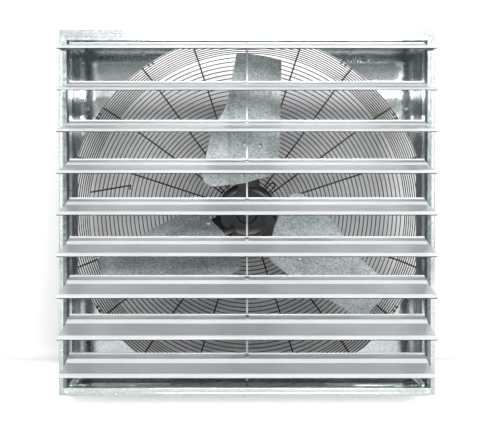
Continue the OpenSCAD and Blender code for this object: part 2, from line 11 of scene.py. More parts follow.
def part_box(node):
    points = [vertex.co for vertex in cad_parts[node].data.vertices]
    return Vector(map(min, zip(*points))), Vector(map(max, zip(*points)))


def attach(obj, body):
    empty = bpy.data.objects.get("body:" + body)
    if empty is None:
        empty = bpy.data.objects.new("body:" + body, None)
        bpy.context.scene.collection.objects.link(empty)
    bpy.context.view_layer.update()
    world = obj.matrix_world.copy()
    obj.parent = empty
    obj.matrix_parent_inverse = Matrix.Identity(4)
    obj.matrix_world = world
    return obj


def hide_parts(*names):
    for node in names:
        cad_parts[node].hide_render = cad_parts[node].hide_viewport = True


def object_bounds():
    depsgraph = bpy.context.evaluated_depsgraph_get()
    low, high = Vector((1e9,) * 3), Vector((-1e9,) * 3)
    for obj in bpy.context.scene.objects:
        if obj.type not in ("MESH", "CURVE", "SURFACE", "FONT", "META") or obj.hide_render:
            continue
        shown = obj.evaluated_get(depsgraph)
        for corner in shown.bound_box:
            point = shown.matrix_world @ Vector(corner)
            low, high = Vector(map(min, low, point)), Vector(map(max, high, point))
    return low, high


bl_info = {
    "name": "Shutter exhaust fan",
    "version": (1, 0, 0),
    "blender": (4, 5, 0),
    "location": "3D View > Sidebar > Exhaust Fan",
    "description": "Builds the visible pieces of a louvred wall exhaust fan",
    "category": "Object",
}

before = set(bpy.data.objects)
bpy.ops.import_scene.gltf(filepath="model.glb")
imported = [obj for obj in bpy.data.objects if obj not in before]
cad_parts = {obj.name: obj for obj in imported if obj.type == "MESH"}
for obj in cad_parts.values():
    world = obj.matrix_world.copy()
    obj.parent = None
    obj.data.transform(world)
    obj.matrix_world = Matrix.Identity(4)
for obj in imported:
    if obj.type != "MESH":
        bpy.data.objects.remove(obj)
cad_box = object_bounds()

MM = 0.001
ACROSS = Vector((1, 0, 0))
AXIS = Vector((0, 1, 0))
UP = Vector((0, 0, 1))


def linear(hex_code):
    """Linear RGBA of an sRGB hex value such as 'c8ccd0'."""
    values = [int(hex_code[i : i + 2], 16) / 255 for i in (0, 2, 4)]
    return [v / 12.92 if v <= 0.04045 else ((v + 0.055) / 1.055) ** 2.4 for v in values] + [1.0]


# Sizes and colours


def length(name, description, millimetres):
    return FloatProperty(
        name=name, description=description, default=millimetres * MM, unit="LENGTH", precision=4
    )


def angle(name, description, degrees):
    return FloatProperty(
        name=name, description=description, default=math.radians(degrees), subtype="ANGLE"
    )


def colour(name, description, hex_code):
    return FloatVectorProperty(
        name=name, description=description, default=linear(hex_code), size=4, subtype="COLOR",
        min=0, max=1,
    )


class FanHousing(bpy.types.PropertyGroup):
    """Sizes of the box and the shutter's frame."""

    half_width: length("Half width", "From the fan's axis to the box's side", 508)
    half_height: length("Half height", "From the fan's axis to the box's top", 493.5)
    depth: length("Depth", "From the wall flange to the outlet's face", 150)
    sheet: length("Sheet", "Thickness of the galvanised sheet", 1.5)
    rim: length("Rim", "Width of the rim turned inwards round the outlet", 9)
    fold: length("Fold", "How far each fold's round reaches along the sheet", 2.2)
    low_corner: length("Low corner", "Radius of the lower corners", 24)
    top_corner: length("Top corner", "Radius of the upper corners", 8)
    jamb_inset: length("Jamb inset", "How far the jambs stand in from the sides", 18.5)
    head_inset: length("Head inset", "How far the head stands in from the top", 19)
    sill_inset: length("Sill inset", "How far the sill stands in from the bottom", 23.3)
    leg: length("Leg", "Depth of the frame's inner legs", 25)


class FanLouvres(bpy.types.PropertyGroup):
    """Sizes of the louvres."""

    count: IntProperty(name="Count", description="Number of louvres", default=9, min=1)
    pitch: length("Pitch", "Distance between two pivots", 106.2)
    first: length("First pivot", "Height of the first pivot above the fan's axis", 458.1)
    pivot: length("Pivot depth", "Distance of the pivots in front of the wall flange", 142)
    tilt: angle("Tilt", "Tilt at rest, front edge down", 12)
    half: length("Half length", "Half the length of a louvre", 486)
    flat: length("Flat", "Depth of the flat", 66.6)
    last_flat: length("Last flat", "Depth of the lowest louvre's flat", 50.6)
    sheet: length("Sheet", "Thickness of the louvre", 1.5)
    bend: length("Bend", "How far each bend's round reaches along the sheet", 2)
    rear_lip: length("Rear lip", "Height of the lip along the rear edge", 3.6)
    seal_width: length("Seal width", "Width of the seal under the front lip", 6)
    seal: length("Seal", "Thickness of the seal under the front lip", 2.4)
    last_seal: length("Last seal", "Thickness of the lowest louvre's seal", 0.8)
    seal_inset: length("Seal inset", "How far the seal ends before the louvre does", 0.4)


class FanRotor(bpy.types.PropertyGroup):
    """Sizes of the blades and the hub."""

    tip: length("Tip radius", "Radius of the blade tips", 457)
    sheet: length("Sheet", "Thickness of the blade", 2)
    forward: length("Forward", "Distance of the blades in front of the wall flange", 54)
    hub: length("Hub radius", "Radius of the hub's plate", 76)
    pitch: angle("Pitch", "Angle of the blade's middle to the plane of rotation", 20)
    trailing: angle("Trailing pitch", "Angle of the blade's trailing wing", 26)
    leading: angle("Leading pitch", "Angle of the blade's leading wing", 12)
    turn: angle("Turn", "Turn of the first blade from straight up", 4.4)


class FanGuard(bpy.types.PropertyGroup):
    """Sizes of the wire guard."""

    depth: length("Depth", "Distance of the face rings behind the wall flange", 130)
    face: length("Face radius", "Radius of the outermost face ring", 505)
    base: length("Base radius", "Radius of the ring beside the panel", 530)
    pitch: length("Ring pitch", "Distance between the face rings", 13.1)
    ring_wire: length("Ring wire", "Radius of the ring wire", 1.5)
    rod_wire: length("Rod wire", "Radius of the rod wire", 2.5)
    rings: IntProperty(name="Face rings", description="Number of face rings", default=32, min=1)
    skirt: IntProperty(name="Skirt rings", description="Number of skirt rings", default=9, min=1)
    rods: IntProperty(name="Rods", description="Number of radial rods", default=20, min=3)


class FanMotor(bpy.types.PropertyGroup):
    """Sizes of the motor."""

    radius: length("Radius", "Radius of the shell", 90)
    front: length("Front", "Where the shell starts behind the wall flange", 9.5)
    back: length("Back", "Where the shell ends behind the wall flange", 117.5)
    bell: length("Bell depth", "Depth of each end bell", 14)
    wall: length("Bell wall", "Thickness of each end bell's wall", 4)


class FanColours(bpy.types.PropertyGroup):
    """Colours of the finishes."""

    zinc_dark: colour("Zinc, dark", "Dullest crystals of the galvanised sheet", "bcc5c4")
    zinc_light: colour("Zinc, light", "Brightest crystals of the galvanised sheet", "d8dedd")
    # The blade zinc is darker than the box's zinc. This is painted shade from the louvres in
    # front of the blades, on top of the crystals' own spread.
    blade_dark: colour("Blade zinc, dark", "Dullest crystals of the blades", "848d8d")
    blade_light: colour("Blade zinc, light", "Brightest crystals of the blades", "b6bdbc")
    # The dull zinc is darker than the box's zinc. On the jambs it is their darker zinc. On the
    # collar it is painted shade, the dark band on the panel beside the walls.
    dull_dark: colour("Dull zinc, dark", "Dullest crystals of the jambs and collar", "596264")
    dull_light: colour("Dull zinc, light", "Brightest crystals of the jambs and collar", "7b8485")
    aluminium_dark: colour("Aluminium, dark", "Between the louvres' die lines", "c6c9cc")
    aluminium_light: colour("Aluminium, light", "On the louvres' die lines", "dcdee1")
    enamel: colour("Enamel", "Black stove enamel", "030404")
    enamel_dusty: colour("Enamel, dusty", "Where dust lies on the enamel", "0d0f10")


class FanStudio(bpy.types.PropertyGroup):
    """Where the camera stands and how the studio is laid out."""

    camera_distance: length("Camera distance", "From the wall flange to the camera", 1725)
    camera_height: length("Camera height", "Of the camera above the fan's axis", 67.2)
    wall: length("Wall", "From the wall flange back to the studio wall", 420)
    cove: length("Cove", "How far the round between floor and wall reaches", 50)
    ambient: FloatProperty(name="Ambient", description="Strength of the even light", default=0.1)
    key: FloatProperty(name="Key", description="Watts of the key light", default=145)
    side: FloatProperty(name="Side", description="Watts of each side light", default=10)


# Materials


def new_material(name):
    material = bpy.data.materials.new(name)
    material.use_nodes = True
    tree = material.node_tree
    return material, tree, tree.nodes["Principled BSDF"]


def add(tree, kind, links=(), inputs=(), **settings):
    """Adds a node with its links, its inputs' values and its settings."""
    node = tree.nodes.new(kind)
    for key, value in settings.items():
        setattr(node, key, value)
    for socket, value in dict(inputs).items():
        node.inputs[socket].default_value = value
    for socket, source in dict(links).items():
        tree.links.new(source, node.inputs[socket])
    return node


def blend_colours(tree, factor, dark, light, low=0.3, high=0.7):
    """Output that runs from dark to light as factor runs from low to high."""
    node = add(tree, "ShaderNodeValToRGB", {"Fac": factor})
    first, last = node.color_ramp.elements
    first.position, first.color = low, dark
    last.position, last.color = high, light
    return node.outputs["Color"]


def galvanised(name, spangle_mm, roughness, metallic, dark, light):
    """Hot-dip galvanised sheet: zinc crystals a few millimetres wide, each of which catches the
    light in its own way, under slow cloudy stains from the rinse."""
    material, tree, shader = new_material(name)
    place = add(tree, "ShaderNodeTexCoord").outputs["Object"]
    warp = add(tree, "ShaderNodeTexNoise", {"Vector": place}, {"Scale": 1 / (6 * MM)})
    ragged = add(
        tree, "ShaderNodeVectorMath", {0: warp.outputs["Color"], 2: place},
        {1: [3 * MM] * 3}, operation="MULTIPLY_ADD",
    )
    cells = add(
        tree, "ShaderNodeTexVoronoi", {"Vector": ragged.outputs[0]},
        {"Scale": 1 / (spangle_mm * MM)},
    )
    crystal = add(tree, "ShaderNodeSeparateColor", {"Color": cells.outputs["Color"]})
    clouds = add(
        tree, "ShaderNodeTexNoise", {"Vector": place},
        {"Scale": 1 / (90 * MM), "Detail": 6.0, "Roughness": 0.62},
    )
    shade = add(
        tree, "ShaderNodeMix", {"A": crystal.outputs[0], "B": clouds.outputs["Fac"]},
        {"Factor": 0.6},
    )
    tree.links.new(
        blend_colours(tree, shade.outputs[0], dark, light), shader.inputs["Base Color"]
    )
    gloss = add(
        tree, "ShaderNodeMapRange", {"Value": crystal.outputs[1]},
        {"To Min": roughness - 0.03, "To Max": roughness + 0.05},
    )
    tree.links.new(gloss.outputs["Result"], shader.inputs["Roughness"])
    relief = add(
        tree, "ShaderNodeBump", {"Height": crystal.outputs[2]},
        {"Strength": 0.02, "Distance": 0.3 * MM},
    )
    tree.links.new(relief.outputs["Normal"], shader.inputs["Normal"])
    shader.inputs["Metallic"].default_value = metallic
    return material


def mill_aluminium(name, roughness, metallic, dark, light):
    """Mill-finish aluminium: fine die lines along its length. They are drawn 3 mm apart,
    coarser than real, so that they show. Light and shade are painted by slope: the steepest
    faces, turned up towards the front, are painted white and made less metallic as a painted
    highlight, and faces of middle slope, as in the hollow behind the rear lip, are painted
    darker as painted shade."""
    material, tree, shader = new_material(name)
    place = add(tree, "ShaderNodeTexCoord").outputs["Object"]
    along = add(tree, "ShaderNodeMapping", {"Vector": place}, {"Scale": (0.01, 1.0, 1.0)})
    lines = add(
        tree, "ShaderNodeTexNoise", {"Vector": along.outputs["Vector"]},
        {"Scale": 1 / (3 * MM), "Detail": 3.0},
    )
    drift = add(
        tree, "ShaderNodeTexNoise", {"Vector": place}, {"Scale": 1 / (160 * MM), "Detail": 3.0}
    )
    shade = add(
        tree, "ShaderNodeMix", {"A": lines.outputs["Fac"], "B": drift.outputs["Fac"]},
        {"Factor": 0.4},
    )
    # Painted light by slope: the normal's forward share picks the faces that are painted lighter
    # or darker.
    facing = add(tree, "ShaderNodeTexCoord").outputs["Normal"]
    forward = add(tree, "ShaderNodeSeparateXYZ", {"Vector": facing}).outputs["Y"]
    slope = add(
        tree, "ShaderNodeMapRange", {"Value": forward}, {"From Min": -0.2, "From Max": -0.55}
    ).outputs["Result"]
    slope_shading = add(tree, "ShaderNodeValToRGB", {"Fac": slope})
    flat, lit_face = slope_shading.color_ramp.elements
    flat.position, flat.color = 0.15, linear("e8e8e8")
    lit_face.position, lit_face.color = 0.85, linear("ffffff")
    # Painted shade on faces of middle slope, such as the hollow behind the rear lip.
    slope_shading.color_ramp.elements.new(0.47).color = linear("b4b4b4")
    slope_shaded = add(
        tree, "ShaderNodeMix",
        {"A": blend_colours(tree, shade.outputs[0], dark, light), "B": slope_shading.outputs["Color"]},
        {"Factor": 1.0}, data_type="RGBA", blend_type="MULTIPLY",
    )
    tree.links.new(slope_shaded.outputs["Result"], shader.inputs["Base Color"])
    # Painted highlight: the steepest faces lose their metal look so that the lamps light them
    # brighter.
    steep_face_metallic = add(
        tree, "ShaderNodeMapRange", {"Value": slope},
        {"From Min": 0.6, "From Max": 0.9, "To Min": metallic, "To Max": 0.1},
    )
    tree.links.new(steep_face_metallic.outputs["Result"], shader.inputs["Metallic"])
    relief = add(
        tree, "ShaderNodeBump", {"Height": lines.outputs["Fac"]},
        {"Strength": 0.03, "Distance": 0.2 * MM},
    )
    tree.links.new(relief.outputs["Normal"], shader.inputs["Normal"])
    shader.inputs["Roughness"].default_value = roughness
    return material


def stove_enamel(name, roughness, base, dusty):
    """Black stove enamel on steel: slightly orange-peeled, with a little dust in patches."""
    material, tree, shader = new_material(name)
    place = add(tree, "ShaderNodeTexCoord").outputs["Object"]
    dust = add(
        tree, "ShaderNodeTexNoise", {"Vector": place}, {"Scale": 1 / (25 * MM), "Detail": 4.0}
    )
    tree.links.new(
        blend_colours(tree, dust.outputs["Fac"], base, dusty, 0.4, 0.75),
        shader.inputs["Base Color"],
    )
    peel = add(tree, "ShaderNodeTexNoise", {"Vector": place}, {"Scale": 1 / (1.5 * MM)})
    relief = add(
        tree, "ShaderNodeBump", {"Height": peel.outputs["Fac"]},
        {"Strength": 0.1, "Distance": 0.2 * MM},
    )
    tree.links.new(relief.outputs["Normal"], shader.inputs["Normal"])
    shader.inputs["Roughness"].default_value = roughness
    return material


def handled(name, grain_mm, roughness, metallic, dark, light):
    """Plain metal, rubber or nylon, mottled a little by handling at the grain's scale."""
    material, tree, shader = new_material(name)
    place = add(tree, "ShaderNodeTexCoord").outputs["Object"]
    mottle = add(
        tree, "ShaderNodeTexNoise", {"Vector": place},
        {"Scale": 1 / (grain_mm * MM), "Detail": 3.0},
    )
    tree.links.new(
        blend_colours(tree, mottle.outputs["Fac"], linear(dark), linear(light)),
        shader.inputs["Base Color"],
    )
    shader.inputs["Metallic"].default_value = metallic
    shader.inputs["Roughness"].default_value = roughness
    return material


def studio_paper(name, hex_code, bounced_hex, lift, wall):
    """Matt studio paper, seen from its front only. Little light bounces off it, and the camera
    sees its floor, as far as the wall, lifted towards white, shadows and all."""
    material, tree, shader = new_material(name)
    rays = add(tree, "ShaderNodeLightPath").outputs
    shade = add(
        tree, "ShaderNodeMix", {"Factor": rays["Is Diffuse Ray"]},
        {"A": linear(hex_code), "B": linear(bounced_hex)}, data_type="RGBA",
    )
    tree.links.new(shade.outputs["Result"], shader.inputs["Base Color"])
    spot = add(tree, "ShaderNodeNewGeometry").outputs
    depth = add(tree, "ShaderNodeSeparateXYZ", {"Vector": spot["Position"]}).outputs["Y"]
    lifted = add(
        tree, "ShaderNodeMapRange", {"Value": depth},
        {"From Min": wall - 0.12, "From Max": wall, "To Min": lift, "To Max": 0.0},
    )
    glow = add(
        tree, "ShaderNodeMath", {0: rays["Is Camera Ray"], 1: lifted.outputs["Result"]},
        operation="MULTIPLY",
    )
    tree.links.new(glow.outputs[0], shader.inputs["Emission Strength"])
    shader.inputs["Emission Color"].default_value = linear("ffffff")
    shader.inputs["Roughness"].default_value = 0.9
    clear = add(tree, "ShaderNodeBsdfTransparent")
    front_only = add(
        tree, "ShaderNodeMixShader",
        {0: spot["Backfacing"], 1: shader.outputs[0], 2: clear.outputs[0]},
    )
    tree.links.new(front_only.outputs[0], tree.nodes["Material Output"].inputs["Surface"])
    return material


def paint(material_name, *nodes):
    """Gives CAD nodes their material."""
    for name in nodes:
        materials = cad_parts[name].data.materials
        materials.clear()
        materials.append(bpy.data.materials[material_name])


# Shapes


def everything(mesh):
    return mesh.verts[:] + mesh.edges[:] + mesh.faces[:]


def verts_of(geometry):
    return [g for g in geometry if isinstance(g, bmesh.types.BMVert)]


def round_off(mesh, geometry, reach, steps=3, affect="EDGES"):
    bmesh.ops.bevel(
        mesh, geom=geometry, offset=reach, offset_type="OFFSET", segments=steps, profile=0.5,
        affect=affect, clamp_overlap=True, material=-1,
    )


def cut_off(mesh, place, normal):
    """Takes away what lies past a plane, on the side that its normal points to."""
    bmesh.ops.bisect_plane(
        mesh, geom=everything(mesh), dist=1e-7, plane_co=place, plane_no=normal,
        clear_outer=True,
    )


def join(whole, part, *places):
    """Adds part to whole, once at each place, and frees part."""
    data = bpy.data.meshes.new("part")
    part.to_mesh(data)
    part.free()
    for place in places or (Matrix(),):
        copy = data.copy()
        copy.transform(place)
        whole.from_mesh(copy)
        bpy.data.meshes.remove(copy)
    bpy.data.meshes.remove(data)


def link(thing):
    bpy.context.scene.collection.objects.link(thing)
    return thing


def piece(mesh, name, body, slot, material, *stands_for, crease=35):
    """Turns a bmesh into a finished piece that rides on a body and stands for CAD nodes."""
    bmesh.ops.recalc_face_normals(mesh, faces=mesh.faces)
    data = bpy.data.meshes.new(name)
    mesh.to_mesh(data)
    mesh.free()
    data.shade_smooth()
    data.set_sharp_from_angle(angle=math.radians(crease))
    data.materials.append(bpy.data.materials[material])
    made = link(bpy.data.objects.new(name, data))
    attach(made, body)
    if stands_for:
        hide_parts(*stands_for)
    return made


def thicken(mesh, sheet):
    """Gives an open surface, drawn in mid-thickness, its sheet."""
    bmesh.ops.recalc_face_normals(mesh, faces=mesh.faces)
    mesh.normal_update()
    for vert in mesh.verts:
        vert.co += vert.normal * sheet / 2
    bmesh.ops.solidify(mesh, geom=mesh.faces[:], thickness=sheet)


def folded_sheet(points, run, sheet, reach):
    """Sheet metal: its section is the line of points, drawn out along run."""
    mesh = bmesh.new()
    verts = [mesh.verts.new(p) for p in points]
    edges = [mesh.edges.new(pair) for pair in zip(verts, verts[1:])]
    drawn = bmesh.ops.extrude_edge_only(mesh, edges=edges)["geom"]
    bmesh.ops.translate(mesh, verts=verts_of(drawn), vec=run)
    round_off(mesh, [e for e in mesh.edges if len(e.link_faces) == 2], reach, 4)
    thicken(mesh, sheet)
    return mesh


def block(low, high, reach):
    """Box between two corners with rounded edges."""
    mesh = bmesh.new()
    size = Vector(high) - Vector(low)
    middle = (Vector(high) + Vector(low)) / 2
    bmesh.ops.create_cube(mesh, size=1, matrix=Matrix.LocRotScale(middle, None, size))
    round_off(mesh, mesh.edges[:], reach, 2)
    return mesh


def spun(mesh, steps):
    """Spins everything so far a full turn about the fan's axis."""
    bmesh.ops.spin(
        mesh, geom=mesh.verts[:] + mesh.edges[:], cent=(0, 0, 0), axis=AXIS, dvec=(0, 0, 0),
        angle=2 * math.pi, steps=steps, use_merge=True,
    )
    bmesh.ops.remove_doubles(mesh, verts=mesh.verts, dist=1e-6)
    return mesh


def turned(profile, steps=64):
    """Lathe shape about the fan's axis. The profile is a line of (radius, y) in mm."""
    mesh = bmesh.new()
    verts = [mesh.verts.new((0, y * MM, r * MM)) for r, y in profile]
    for pair in zip(verts, verts[1:]):
        mesh.edges.new(pair)
    bmesh.ops.rotate(
        mesh, verts=mesh.verts, cent=(0, 0, 0), matrix=Matrix.Rotation(math.pi / steps, 3, "Y")
    )
    return spun(mesh, steps)


def wire_ring(radius, y, wire_radius, steps=128, sides=8):
    mesh = bmesh.new()
    across = Matrix.Rotation(math.pi / 2, 4, "Y")
    bmesh.ops.create_circle(
        mesh, radius=wire_radius, segments=sides,
        matrix=Matrix.Translation((0, y, radius)) @ across,
    )
    return spun(mesh, steps)


def plate(corners, run, reach):
    """Flat plate: its corners are (point, how far the round reaches), drawn out along run."""
    mesh = bmesh.new()
    verts = [mesh.verts.new(point) for point, _ in corners]
    mesh.faces.new(verts)
    for vert, (_, corner_reach) in zip(verts, corners):
        if corner_reach:
            round_off(mesh, [vert], corner_reach, 5, "VERTICES")
    drawn = bmesh.ops.extrude_face_region(mesh, geom=mesh.faces[:], use_keep_orig=True)["geom"]
    bmesh.ops.translate(mesh, verts=verts_of(drawn), vec=run)
    bmesh.ops.recalc_face_normals(mesh, faces=mesh.faces)
    if reach:
        round_off(mesh, [e for e in mesh.edges if e.calc_face_angle(0) > 1], reach, 2)
    return mesh


def wire(start, heading, radius, moves, sides=10):
    """Round wire from start along heading. A move is a vector, or a (centre, axis, angle)."""
    mesh = bmesh.new()
    turn = Vector(heading).to_track_quat("Z", "X").to_matrix().to_4x4()
    bmesh.ops.create_circle(
        mesh, radius=radius, segments=sides, matrix=Matrix.Translation(start) @ turn
    )
    rim = mesh.verts[:] + mesh.edges[:]
    for move in moves:
        if isinstance(move, Vector):
            way = dict(cent=(0, 0, 0), axis=AXIS, dvec=move, angle=0, steps=1)
        else:
            centre, axis, sweep = move
            way = dict(cent=centre, axis=axis, dvec=(0, 0, 0), angle=sweep, steps=8)
        rim = bmesh.ops.spin(mesh, geom=rim, **way)["geom_last"]
    ends = [e for e in mesh.edges if len(e.link_faces) == 1]
    bmesh.ops.holes_fill(mesh, edges=ends, sides=sides)
    return mesh


def wire_loop(y, loop, low, high, radius):
    """Wire in the plane y: up one leg, round a half ring and down the other leg."""
    return wire(
        (-loop, y, low), UP, radius,
        [UP * (high - low), (Vector((0, y, high)), AXIS, math.pi), -UP * (high - low)],
    )


def around(turns):
    """Turns about the fan's axis, clockwise from straight up as seen from the outlet."""
    return [Matrix.Rotation(turn, 4, "Y") for turn in turns]


def circle_of(count, start=0.0):
    return [start + 2 * math.pi * k / count for k in range(count)]


# Pieces


class FAN_OT_finishes(bpy.types.Operator):
    """Mix the finishes and paint the CAD pieces that stay"""

    bl_idname = "fan.finishes"
    bl_label = "Mix the finishes"

    def execute(self, context):
        tint = context.scene.fan_colours
        galvanised("galvanised_sheet", 5, 0.14, 0.85, tint.zinc_dark, tint.zinc_light)
        # The blades' zinc is a darker copy of the box's zinc, as painted shade.
        galvanised("shaded_galvanised_blade", 4, 0.34, 0.6, tint.blade_dark, tint.blade_light)
        galvanised("dark_zinc_and_shade", 9, 0.35, 0.6, tint.dull_dark, tint.dull_light)
        mill_aluminium("mill_aluminium", 0.3, 0.45, tint.aluminium_dark, tint.aluminium_light)
        stove_enamel("guard_enamel", 0.4, tint.enamel, tint.enamel_dusty)
        stove_enamel("motor_enamel", 0.28, tint.enamel, tint.enamel_dusty)
        handled("zinc_plate", 4, 0.35, 1.0, "9a9fa2", "c4c8ca")
        handled("ground_steel", 4, 0.22, 1.0, "b0b3b6", "d8dadc")
        handled("steel_laminations", 2, 0.5, 1.0, "55585b", "77797c")
        handled("moulded_nylon", 3, 0.45, 0.0, "c8c8c0", "dcdcd4")
        handled("foam_rubber", 2, 0.85, 0.0, "161819", "25292a")
        paint("galvanised_sheet", "back_panel", "shutter_head")
        # Painted shade: the collar takes the dark zinc to show the dark band on the panel beside
        # the walls.
        paint("dark_zinc_and_shade", "panel_collar")
        paint(
            "zinc_plate", "housing_rivets", "shutter_screws", "guard_screws", "mount_bolts",
            "blade_rivets", "tie_bar_pins", *[f"louvre_pins_{i}" for i in range(1, 10)],
        )
        paint("ground_steel", "front_bearing", "rear_bearing", "motor_shaft", "hub_set_screws")
        paint("steel_laminations", "stator", "rotor_core")
        paint("motor_enamel", "terminal_box")
        paint("moulded_nylon", "jamb_bushes")
        return {"FINISHED"}


def box_wall(size, low, high):
    """The box's walls and rim, in mid-thickness, between two heights."""
    mesh = bmesh.new()
    half = size.sheet / 2
    w, h, y = size.half_width - half, size.half_height - half, half - size.depth
    verts = [mesh.verts.new((x, y, z)) for x, z in ((-w, -h), (w, -h), (w, h), (-w, h))]
    mesh.faces.new(verts)
    for pair, radius in ((verts[:2], size.low_corner), (verts[2:], size.top_corner)):
        round_off(mesh, pair, radius - half, 8, "VERTICES")
    front = mesh.faces[:]
    drawn = bmesh.ops.extrude_edge_only(mesh, edges=mesh.edges[:])["geom"]
    bmesh.ops.translate(mesh, verts=verts_of(drawn), vec=AXIS * (size.depth - half))
    bmesh.ops.inset_region(mesh, faces=front, thickness=size.rim - half, use_even_offset=True)
    centre = max(mesh.faces, key=lambda face: face.calc_area())
    bmesh.ops.delete(mesh, geom=[centre], context="FACES_ONLY")
    folds = [e for e in mesh.edges if len(e.link_faces) == 2 and e.calc_face_angle(0) > 1]
    round_off(mesh, folds, size.fold, 4)
    cut_off(mesh, (0, 0, low), (0, 0, -1))
    cut_off(mesh, (0, 0, high), (0, 0, 1))
    return mesh


class FAN_OT_housing(bpy.types.Operator):
    """Fold the galvanised box"""

    bl_idname = "fan.housing"
    bl_label = "Fold the box"

    def execute(self, context):
        size = context.scene.fan_housing
        low = -size.half_height + size.low_corner + 12 * MM
        high = size.half_height - size.top_corner - 12 * MM
        walls = [
            ("housing_bottom", (-1, low), 0), ("housing_top", (high, 1), 0),
            ("housing_left", (low, high), 1), ("housing_right", (low, high), -1),
        ]
        for node, span, other_side in walls:
            mesh = box_wall(size, *span)
            if other_side:
                cut_off(mesh, (0, 0, 0), (other_side, 0, 0))
            thicken(mesh, size.sheet)
            piece(mesh, node + "_sheet", "housing", "galvanised", "galvanised_sheet", node)
        return {"FINISHED"}


class FAN_OT_shutter_frame(bpy.types.Operator):
    """Fold the shutter frame's angles"""

    bl_idname = "fan.shutter_frame"
    bl_label = "Fold the shutter frame"

    def execute(self, context):
        size = context.scene.fan_housing
        half = size.sheet / 2
        gap = 0.3 * MM
        front = -size.depth + size.sheet + half
        back = front - half + size.leg - size.sheet
        head = size.half_height - size.head_inset
        sill = -size.half_height + size.sill_inset
        edge_x = size.half_width - size.sheet - gap
        edge_z = size.half_height - size.sheet - gap
        for side, name in ((-1, "shutter_jamb_left"), (1, "shutter_jamb_right")):
            leg = side * (size.half_width - size.jamb_inset + half)
            mesh = folded_sheet(
                [(side * edge_x, front, sill), (leg, front, sill), (leg, back, sill)],
                UP * (head - sill), size.sheet, size.fold,
            )
            piece(mesh, name + "_angle", "housing", "galvanised", "dark_zinc_and_shade", name)
        end = edge_x - size.low_corner * 0.3
        mesh = folded_sheet(
            [(-end, front, -edge_z), (-end, front, sill - half), (-end, back, sill - half)],
            ACROSS * 2 * end, size.sheet, size.fold,
        )
        piece(
            mesh, "shutter_sill_angle", "housing", "galvanised", "galvanised_sheet",
            "shutter_sill",
        )
        return {"FINISHED"}


def louvre_place(size, number):
    """Takes a louvre's own section, drawn round its pivot, to its place at rest."""
    height = size.first - (number - 1) * size.pitch
    return Matrix.Translation((0, -size.pivot, height)) @ Matrix.Rotation(size.tilt, 4, "X")


def louvre_line(size, number):
    """Mid-thickness line of the louvre's section round its pivot, rear edge first."""
    flat = size.last_flat if number == size.count else size.flat
    sunk = -size.sheet / 2
    top = [(8.2, 9.5), (-14.1, 5.8), (-30, 0.1)]
    line = [Vector((0, y * MM, z * MM + sunk)) for y, z in top]
    line.append(line[2] - AXIS * flat)
    line.append(line[3] + Vector((0, -12.8, -5.25)) * MM)
    return line


class FAN_OT_louvres(bpy.types.Operator):
    """Form the louvres with their folded ends and the seals under their lips"""

    bl_idname = "fan.louvres"
    bl_label = "Form the louvres"

    def execute(self, context):
        size = context.scene.fan_louvres
        for number in range(1, size.count + 1):
            line = louvre_line(size, number)
            place = louvre_place(size, number)
            name = f"louvre_{number}"
            rear = line[0] - AXIS * size.sheet / 2
            start = -ACROSS * size.half
            mesh = folded_sheet(
                [p + start for p in (rear + UP * size.rear_lip, rear, *line[1:])],
                ACROSS * size.half * 2, size.sheet, size.bend,
            )
            fold_end = line[2].lerp(line[3], 0.83)
            outline = [  # of each folded end: point and corner's reach in mm
                (rear, 0), (line[1], 0), (line[2], 0), (fold_end, 0.5),
                (fold_end + Vector((0, 6, -11)) * MM, 4), (line[2] - UP * 12 * MM, 4),
                (Vector((0, line[1].y, -7.5 * MM)), 4), (Vector((0, 7.2, -6.5)) * MM, 3),
            ]
            for x in (-size.half, size.half - size.sheet):
                corners = [(p + ACROSS * x, reach * MM) for p, reach in outline]
                join(mesh, plate(corners, ACROSS * size.sheet, 0))
            bmesh.ops.transform(mesh, matrix=place, verts=mesh.verts)
            piece(mesh, name + "_sheet", name, "aluminium", "mill_aluminium", name)

            lip = (line[3] - line[4]).normalized()
            under = Vector((0, lip.z, -lip.y))
            thick = size.last_seal if number == size.count else size.seal
            middle = line[4] + lip * 2.6 * MM + under * (size.sheet * 0.7 + thick) / 2
            turn = Matrix.Rotation(math.atan2(lip.z, lip.y), 4, "X")
            far = Vector((size.half - size.seal_inset, size.seal_width / 2, thick / 2))
            seal = block(-far, far, 0.3 * MM)
            bmesh.ops.transform(
                seal, matrix=place @ Matrix.Translation(middle) @ turn, verts=seal.verts
            )
            piece(seal, f"louvre_seal_{number}", name, None, "foam_rubber")
        return {"FINISHED"}


class FAN_OT_tie_bar(bpy.types.Operator):
    """Draw the tie bar"""

    bl_idname = "fan.tie_bar"
    bl_label = "Draw the tie bar"

    def execute(self, context):
        low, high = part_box("tie_bar")
        piece(
            block(low, high, 1.4 * MM), "tie_bar_rod", "tie", "aluminium", "mill_aluminium",
            "tie_bar",
        )
        return {"FINISHED"}


BLADE_CORNERS = [  # across, along and corner radius in mm, seen from the outlet
    (-15, 86, 40), (-137, 62, 32), (-118, 222, 50), (-80, 300, 120), (-64, 477, 0),
    (66, 477, 0), (80, 210, 150), (76, 118, 40), (10, 96, 15),
]
TRAILING_CREASE = -49 * MM
LEADING_CREASE = 45 * MM


def blade_depth(size, x):
    """Depth of the bent blade's middle at x across it."""
    flat = min(max(x, TRAILING_CREASE), LEADING_CREASE)
    wing = size.trailing if x < flat else size.leading
    return flat * math.tan(size.pitch) + (x - flat) * math.tan(wing)


